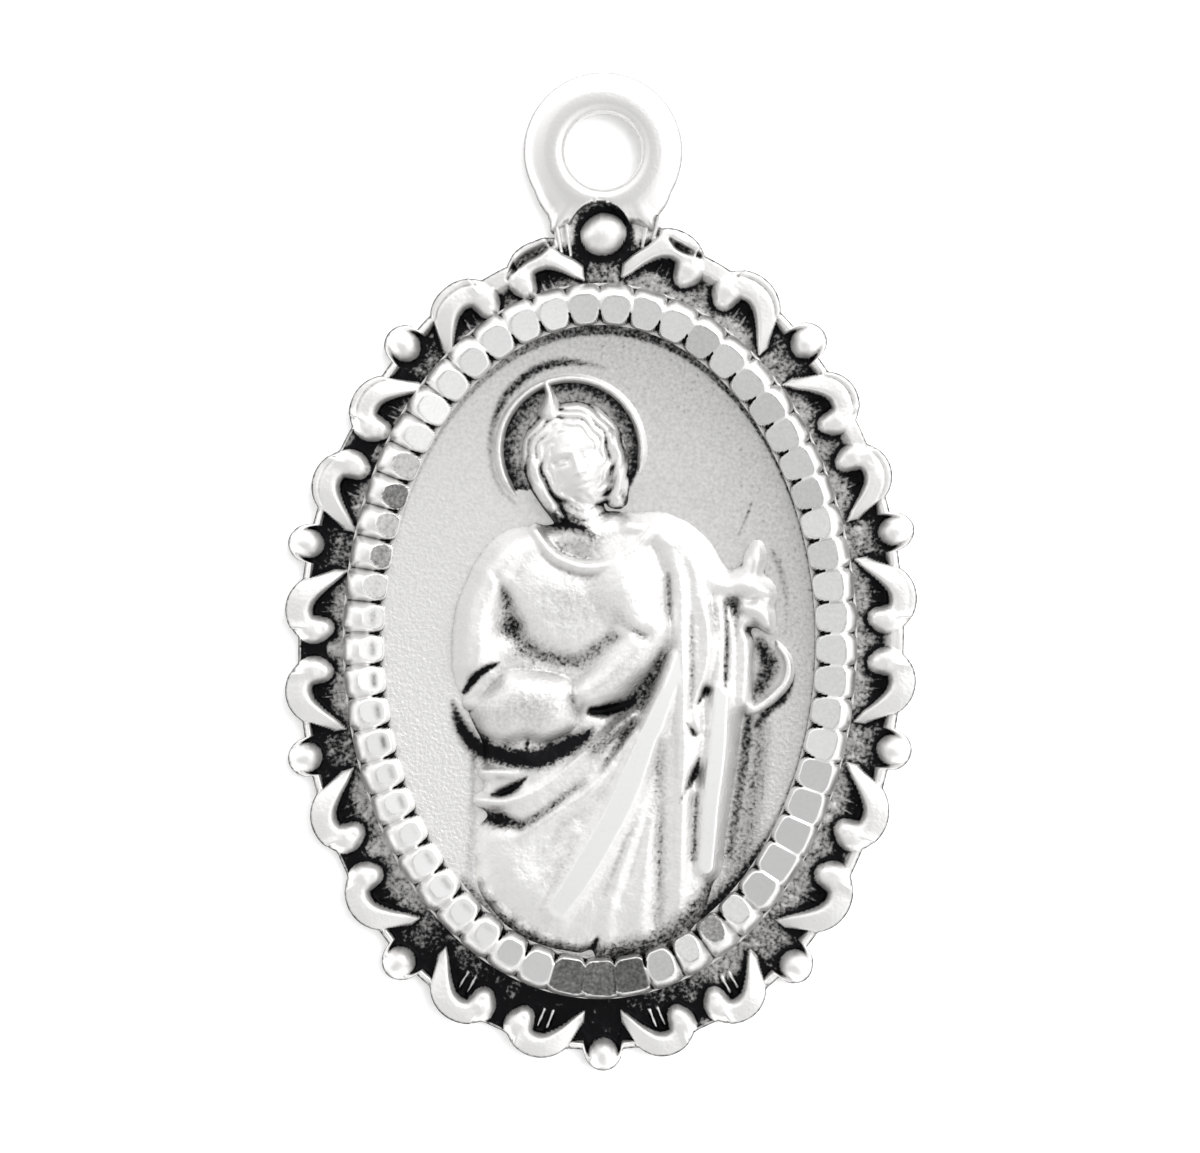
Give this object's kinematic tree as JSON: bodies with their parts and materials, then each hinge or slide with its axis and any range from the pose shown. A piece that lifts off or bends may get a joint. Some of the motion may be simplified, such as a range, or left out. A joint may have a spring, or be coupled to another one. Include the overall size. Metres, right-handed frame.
{
  "type": "religious medal pendant",
  "caption": "Small oval silver medal with a robed saint in high relief, cut bead frame, scroll and pearl border, and an integral hanging eye.",
  "frame": {"origin": "under the middle of the medal's outline box, on its flat back", "axes": "+Y from the foot of the medal to its eye, +X across it, +Z out of its face"},
  "size_m": [0.0158, 0.0254, 0.002],
  "materials": {
    "silver": "satin sterling silver, oxidised black in its recesses, with bright-cut flats on its beads and folds"
  },
  "bodies": {
    "root": {"medal": "silver"}
  },
  "joints": []
}
